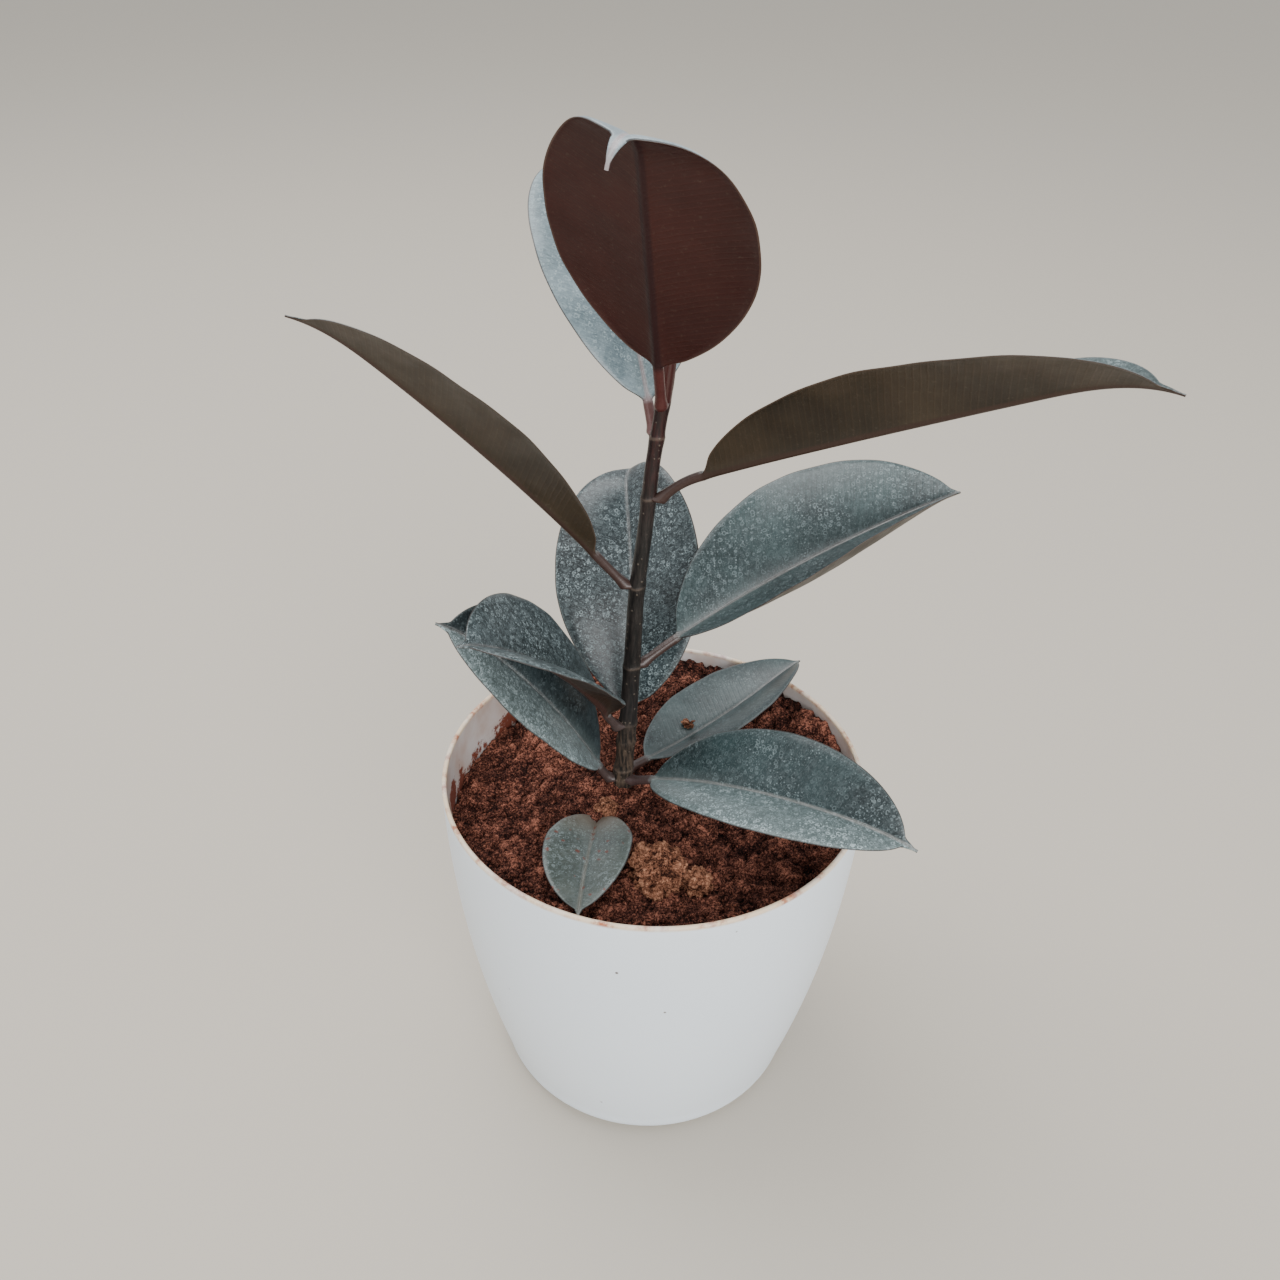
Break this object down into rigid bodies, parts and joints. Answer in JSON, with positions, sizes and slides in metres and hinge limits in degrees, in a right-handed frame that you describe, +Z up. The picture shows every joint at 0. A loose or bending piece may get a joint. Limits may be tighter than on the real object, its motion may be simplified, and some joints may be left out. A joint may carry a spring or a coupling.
{
  "type": "potted rubber plant",
  "caption": "Young rubber plant with dark leathery leaves on one upright stem, in a tapered round white plastic pot filled with red crumbly soil.",
  "frame": {"origin": "centre of the pot's flat underside, on the ground", "axes": "+Z up the stem, +X towards the long leaf on the right, -Y towards the viewer"},
  "size_m": [0.3088, 0.2172, 0.4793],
  "materials": {
    "pot_plastic": "satin bluish white, with a soil-stained lip",
    "soil": "crumbly moist red soil",
    "soil_clod": "crumbly drier red soil",
    "stem_bark": "smooth dark bark, woody and striated at the base",
    "bud_sheath": "satin red-brown",
    "leaf_upper": "dark blue-green, low gloss, dusty with water spots",
    "leaf_young": "burgundy underside, low gloss"
  },
  "bodies": {
    "root": {"pot": "pot_plastic", "soil": "soil", "stem": "stem_bark", "terminal_bud_sheath": "bud_sheath", "leaf_top_front": "leaf_young", "leaf_top_back": "leaf_upper", "leaf_left_long": "leaf_upper", "leaf_right_long": "leaf_upper", "leaf_right_middle": "leaf_upper", "leaf_rear": "leaf_upper", "leaf_left_upper": "leaf_upper", "leaf_left_lower": "leaf_upper", "leaf_right_rear": "leaf_upper", "leaf_right_front": "leaf_upper", "leaf_buried_front": "leaf_upper", "soil_clod_large": "soil_clod", "soil_clod_small": "soil_clod", "soil_clod_stem": "soil_clod"}
  },
  "joints": []
}
